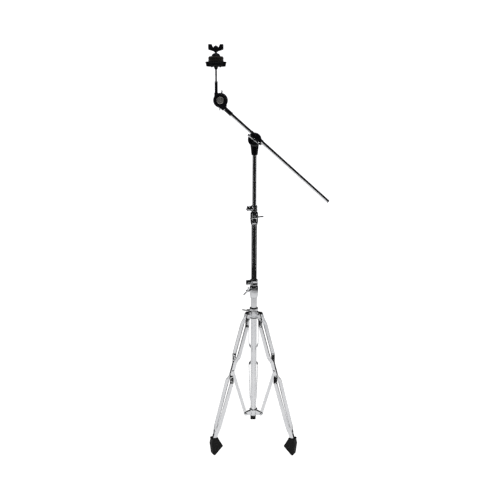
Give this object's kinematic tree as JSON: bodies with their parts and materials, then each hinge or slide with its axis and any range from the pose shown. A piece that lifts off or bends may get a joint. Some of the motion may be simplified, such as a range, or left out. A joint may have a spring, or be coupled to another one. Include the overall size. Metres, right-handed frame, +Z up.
{
  "type": "boom cymbal stand",
  "caption": "Chrome boom cymbal stand: folding double-braced tripod, telescoping tubes, tilting boom arm and a felt-padded cymbal seat with a wing nut.",
  "frame": {"origin": "on the floor, at the centre of the stand's box as seen from above", "axes": "+Z up along the column, +X the way the boom's lower end points, -Y the front"},
  "size_m": [0.4894, 0.3254, 1.6786],
  "materials": {
    "chrome": "polished",
    "black_metal": "gloss black",
    "nylon": "moulded black",
    "rubber": "matte",
    "felt": "pressed felt",
    "badge": "satin"
  },
  "bodies": {
    "stand": {"base_tube": "chrome", "tube_plug": "nylon", "base_clamp": "chrome", "base_clamp_bush": "nylon", "lower_bracket": "chrome", "bracket_pin_1": "chrome", "bracket_pin_2": "chrome", "bracket_pin_3": "chrome"},
    "brace_1": {"brace_1": "chrome"},
    "brace_2": {"brace_2": "chrome"},
    "brace_3": {"brace_3": "chrome"},
    "collar": {"leg_collar": "chrome", "collar_bush": "nylon", "leg_pin_1": "chrome", "leg_pin_2": "chrome", "leg_pin_3": "chrome"},
    "collar_bolt": {"collar_wing_bolt": "chrome"},
    "base_bolt": {"base_wing_bolt": "chrome"},
    "middle_lock_ring": {"middle_lock": "chrome"},
    "middle_lock_bolt": {"middle_lock_bolt": "chrome"},
    "middle": {"middle_tube": "chrome", "middle_clamp": "chrome", "middle_clamp_bush": "nylon"},
    "middle_bolt": {"middle_wing_bolt": "chrome"},
    "upper_lock_ring": {"upper_lock": "chrome"},
    "upper_lock_bolt": {"upper_lock_bolt": "chrome"},
    "upper": {"upper_tube": "chrome", "boom_socket": "black_metal"},
    "boom_head": {"boom_hub": "black_metal", "hub_cap": "black_metal"},
    "boom_bolt": {"boom_wing_bolt": "chrome"},
    "sleeve": {"boom_sleeve": "chrome"},
    "boom": {"boom_arm": "chrome", "boom_end_plug": "nylon", "ferrule": "nylon", "tilter_housing": "black_metal", "tilter_badge": "badge"},
    "seat": {"ratchet_rim": "chrome", "rod_hub": "black_metal", "rod_sleeve": "black_metal", "seat_rod": "chrome", "rod_bushing": "nylon", "seat_cup": "nylon", "lower_felt": "felt", "upper_felt": "felt", "top_washer": "black_metal"},
    "tilter_bolt": {"tilter_wing_bolt": "chrome"},
    "wing_nut": {"wing_nut": "nylon"},
    "leg_1": {"leg_1_strap_left": "chrome", "leg_1_strap_right": "chrome", "foot_1": "rubber", "middle_rivet_1": "chrome"},
    "leg_2": {"leg_2_strap_left": "chrome", "leg_2_strap_right": "chrome", "foot_2": "rubber", "middle_rivet_2": "chrome"},
    "leg_3": {"leg_3_strap_left": "chrome", "leg_3_strap_right": "chrome", "foot_3": "rubber", "middle_rivet_3": "chrome"}
  },
  "joints": [
    {"name": "leg_spread", "type": "hinge", "parent": "stand", "child": "brace_1", "pos_m": [-0.08865, -0.06669, 0.14828], "axis": [0.5, -0.866, 0], "range_deg": [-14.4, 21.2]},
    {"name": "brace_2_turn", "type": "hinge", "parent": "stand", "child": "brace_2", "pos_m": [-0.0211, -0.06669, 0.14828], "axis": [0.5, 0.866, 0], "range_deg": [-14.5, 21.3]},
    {"name": "brace_3_turn", "type": "hinge", "parent": "stand", "child": "brace_3", "pos_m": [-0.05488, -0.00819, 0.14828], "axis": [-1, 0, 0], "range_deg": [-14.5, 21.3]},
    {"name": "leg_1_turn", "type": "hinge", "parent": "brace_1", "child": "leg_1", "pos_m": [-0.14398, -0.09863, 0.36402], "axis": [0.5, -0.866, 0], "range_deg": [-40.26, 27.38]},
    {"name": "leg_2_turn", "type": "hinge", "parent": "brace_2", "child": "leg_2", "pos_m": [0.03422, -0.09863, 0.36402], "axis": [0.5, 0.866, 0], "range_deg": [-40.26, 27.38]},
    {"name": "leg_3_turn", "type": "hinge", "parent": "brace_3", "child": "leg_3", "pos_m": [-0.05488, 0.0557, 0.36402], "axis": [-1, 0, 0], "range_deg": [-40.26, 27.38]},
    {"name": "collar_turn", "type": "hinge", "parent": "leg_1", "child": "collar", "pos_m": [-0.08042, -0.06194, 0.60405], "axis": [0.5, -0.866, 0], "range_deg": [-12.98, 19.06]},
    {"name": "collar_bolt_turn", "type": "hinge", "parent": "collar", "child": "collar_bolt", "pos_m": [-0.05488, -0.04719, 0.6091], "axis": [-0.866, 0.5, 0], "continuous": true},
    {"name": "base_bolt_turn", "type": "hinge", "parent": "stand", "child": "base_bolt", "pos_m": [-0.05488, -0.04719, 0.70855], "axis": [-0.7431, -0.6691, 0], "continuous": true},
    {"name": "middle_swivel", "type": "hinge", "parent": "stand", "child": "middle_lock_ring", "pos_m": [-0.05488, -0.04719, 0.72685], "axis": [0, 0, 1], "continuous": true},
    {"name": "middle_lock_bolt_turn", "type": "hinge", "parent": "middle_lock_ring", "child": "middle_lock_bolt", "pos_m": [-0.07831, -0.05391, 0.73885], "axis": [0.2756, -0.9613, 0], "continuous": true},
    {"name": "middle_height", "type": "slide", "parent": "middle_lock_ring", "child": "middle", "axis": [0, 0, 1], "range_m": [-0.2, 0.12]},
    {"name": "middle_bolt_turn", "type": "hinge", "parent": "middle", "child": "middle_bolt", "pos_m": [-0.05488, -0.04719, 1.01855], "axis": [0.2419, -0.9703, 0], "continuous": true},
    {"name": "upper_swivel", "type": "hinge", "parent": "middle", "child": "upper_lock_ring", "pos_m": [-0.05488, -0.04719, 1.03685], "axis": [0, 0, 1], "continuous": true},
    {"name": "upper_lock_bolt_turn", "type": "hinge", "parent": "upper_lock_ring", "child": "upper_lock_bolt", "pos_m": [-0.07599, -0.04941, 1.04885], "axis": [0.1045, -0.9945, 0], "continuous": true},
    {"name": "upper_height", "type": "slide", "parent": "upper_lock_ring", "child": "upper", "axis": [0, 0, 1], "range_m": [-0.17, 0.1]},
    {"name": "boom_tilt", "type": "hinge", "parent": "upper", "child": "boom_head", "pos_m": [-0.05488, -0.04719, 1.32405], "axis": [0, 1, 0], "range_deg": [-90, 18]},
    {"name": "boom_bolt_turn", "type": "hinge", "parent": "boom_head", "child": "boom_bolt", "pos_m": [-0.05488, -0.04719, 1.32405], "axis": [0, -1, 0], "continuous": true},
    {"name": "boom_roll", "type": "hinge", "parent": "boom_head", "child": "sleeve", "pos_m": [-0.04735, -0.06274, 1.33262], "axis": [0.7513, 0, -0.66], "continuous": true},
    {"name": "boom_slide", "type": "slide", "parent": "sleeve", "child": "boom", "axis": [0.7513, 0, -0.66], "range_m": [-0.3, 0.09]},
    {"name": "seat_tilt", "type": "hinge", "parent": "boom", "child": "seat", "pos_m": [-0.18776, -0.06274, 1.47128], "axis": [0, 1, 0], "range_deg": [-90, 60]},
    {"name": "tilter_bolt_turn", "type": "hinge", "parent": "seat", "child": "tilter_bolt", "pos_m": [-0.18776, -0.06274, 1.47128], "axis": [0, 1, 0], "continuous": true},
    {"name": "wing_nut_turn", "type": "hinge", "parent": "seat", "child": "wing_nut", "pos_m": [-0.20406, -0.03954, 1.64678], "axis": [0, 0, 1], "continuous": true}
  ],
  "couplings": [
    {"joint": "brace_2_turn", "follows": "leg_spread", "ratio": 1},
    {"joint": "brace_3_turn", "follows": "leg_spread", "ratio": 1},
    {"joint": "leg_1_turn", "follows": "leg_spread", "ratio": -1.8945},
    {"joint": "leg_2_turn", "follows": "leg_spread", "ratio": -1.8945},
    {"joint": "leg_3_turn", "follows": "leg_spread", "ratio": -1.8945},
    {"joint": "collar_turn", "follows": "leg_spread", "ratio": 0.8945}
  ]
}
